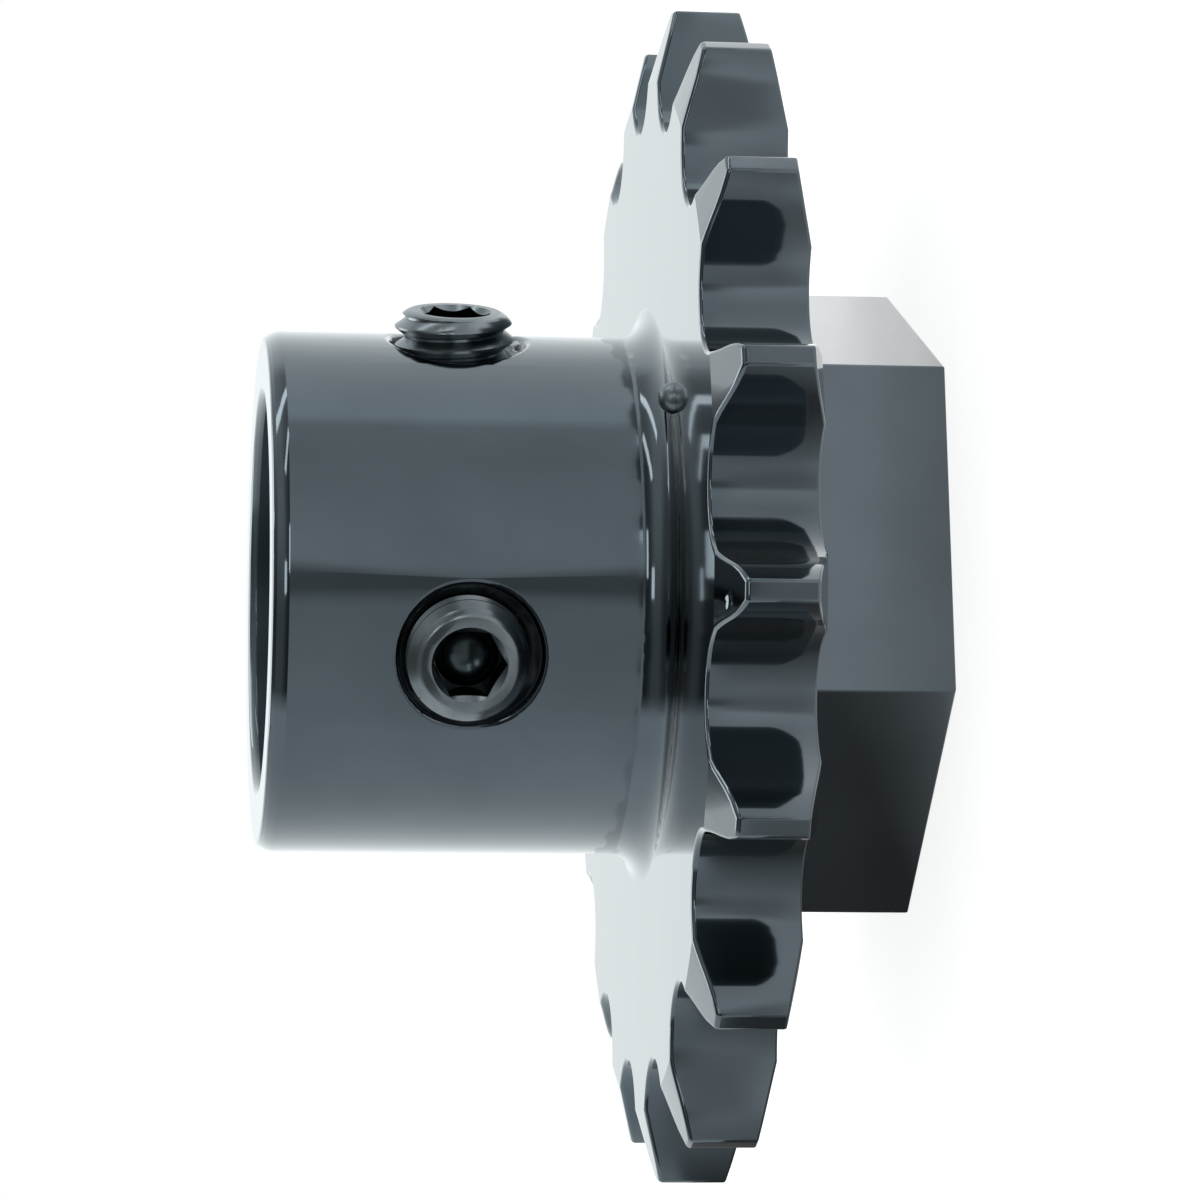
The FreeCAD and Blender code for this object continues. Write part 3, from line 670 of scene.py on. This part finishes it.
def lamp(name, view_angle, rise, distance, width, height, power, tilt):
    """A soft box aimed at the middle of the sprocket, its width tilted up by some degrees."""
    data = bpy.data.lights.new(name, "AREA")
    data.shape = "RECTANGLE"
    data.size, data.size_y = width * MM, height * MM
    data.energy = power
    light = bpy.data.objects.new(name, data)
    bpy.context.scene.collection.objects.link(light)
    level = bearing(FRONT_BEARING + math.radians(view_angle)) * math.cos(math.radians(rise))
    way = level + AXIS * math.sin(math.radians(rise))
    spot = way * distance * MM + AXIS * HUB_TOP / 2
    aim = way.to_track_quat("Z", "Y").to_matrix().to_4x4()
    light.matrix_world = Matrix.Translation(spot) @ aim @ Matrix.Rotation(math.radians(tilt), 4, "Z")


def room_share(tree, way):
    """How much of a direction looks into the dim room. The room's side walls run straight up and meet
    far behind the sprocket, so it is taken from how far to the side a direction lies for its distance
    in front of the far side."""
    front = add(tree, "ShaderNodeVectorMath", {"operation": "DOT_PRODUCT"}, {0: way, 1: FRONT})
    side = add(tree, "ShaderNodeVectorMath", {"operation": "DOT_PRODUCT"}, {0: way, 1: UPPER})
    front = add(tree, "ShaderNodeMath", {"operation": "ADD"}, {0: front.outputs["Value"], 1: MEETING_POINT})
    slope = add(tree, "ShaderNodeMath", {"operation": "DIVIDE"}, {0: side.outputs["Value"],
                                                                  1: front.outputs[0]})
    slope = add(tree, "ShaderNodeMapRange", {}, {"Value": slope.outputs[0], "From Min": -WIDEST_SLOPE,
                                                 "From Max": WIDEST_SLOPE})
    within = ramp(add(tree, "ShaderNodeValToRGB", {}, {"Fac": slope.outputs[0]}),
                  [(width / WIDEST_SLOPE / 2 + 0.5, grey(share)) for width, share in ROOM_WIDTH])
    viewer_side = all_round(tree, way, VIEWER_SIDE)
    return add(tree, "ShaderNodeMath", {"operation": "MULTIPLY"},
               {0: viewer_side.outputs["Color"], 1: within.outputs["Color"]})


def studio_walls():
    """White to the camera; the metal mirrors the walls, the dim room above them and the ceiling."""
    world = bpy.data.worlds.new("studio_walls")
    bpy.context.scene.world = world
    world.use_nodes = True
    tree = world.node_tree
    tree.nodes.clear()
    way = add(tree, "ShaderNodeTexCoord").outputs["Generated"]
    height = add(tree, "ShaderNodeSeparateXYZ", {}, {"Vector": way}).outputs["Z"]
    walls = all_round(tree, way, WALL_TONES)
    over_walls = ramp(add(tree, "ShaderNodeValToRGB", {}, {"Fac": height}),
                      [(z, grey(share)) for z, share in WALL_HEIGHTS])
    room = ramp(add(tree, "ShaderNodeValToRGB", {}, {"Fac": height}),
                [(z, grey(tone)) for z, tone in ROOM_TONES])
    sides = all_round(tree, way, ROOM_SIDES)
    room = add(tree, "ShaderNodeMix", {"data_type": "RGBA", "blend_type": "MULTIPLY"},
               {SHARE: 1.0, FIRST: room.outputs["Color"], SECOND: sides.outputs["Color"]})
    upper = add(tree, "ShaderNodeMix", {"data_type": "RGBA"}, {SHARE: room_share(tree, way).outputs[0],
                FIRST: grey(1.0), SECOND: room.outputs[MIXED]})
    all_heights = add(tree, "ShaderNodeMix", {"data_type": "RGBA"}, {SHARE: over_walls.outputs["Color"],
                      FIRST: walls.outputs["Color"], SECOND: upper.outputs[MIXED]})
    cool = add(tree, "ShaderNodeMix", {"data_type": "RGBA", "blend_type": "MULTIPLY"},
               {SHARE: 1.0, FIRST: all_heights.outputs[MIXED], SECOND: linear("#f6fdff")})
    rays = add(tree, "ShaderNodeLightPath")
    white = add(tree, "ShaderNodeMix", {"data_type": "RGBA"}, {SHARE: rays.outputs["Is Camera Ray"],
                FIRST: cool.outputs[MIXED], SECOND: grey(1.0)})
    sky = add(tree, "ShaderNodeBackground", {}, {"Color": white.outputs[MIXED], "Strength": 1.0})
    add(tree, "ShaderNodeOutputWorld", {}, {"Surface": sky.outputs[0]})


def floor():
    bpy.ops.mesh.primitive_circle_add(vertices=128, radius=FLOOR_RADIUS, fill_type="NGON")
    sheet = bpy.context.object
    sheet.name = "floor"
    sheet.data.materials.append(floor_paper())


# ---------------------------------------------------------------- scene

bpy.ops.object.select_all(action="DESELECT")
bpy.context.scene.view_settings.view_transform = "Standard"
camera()
studio_walls()
floor()
for lamp_name, settings in LAMPS.items():
    lamp(lamp_name, *settings)

body_steel, fastener_steel = blackened_steel(), screw_steel()
sprocket_body([body_steel, spatter_crust()])
set_screws([fastener_steel, socket_oxide_and_shade()])
for node_name, cad_node in frame["nodes"].items():
    wear(cad_node, [body_steel if node_name == "sprocket_body" else fastener_steel])
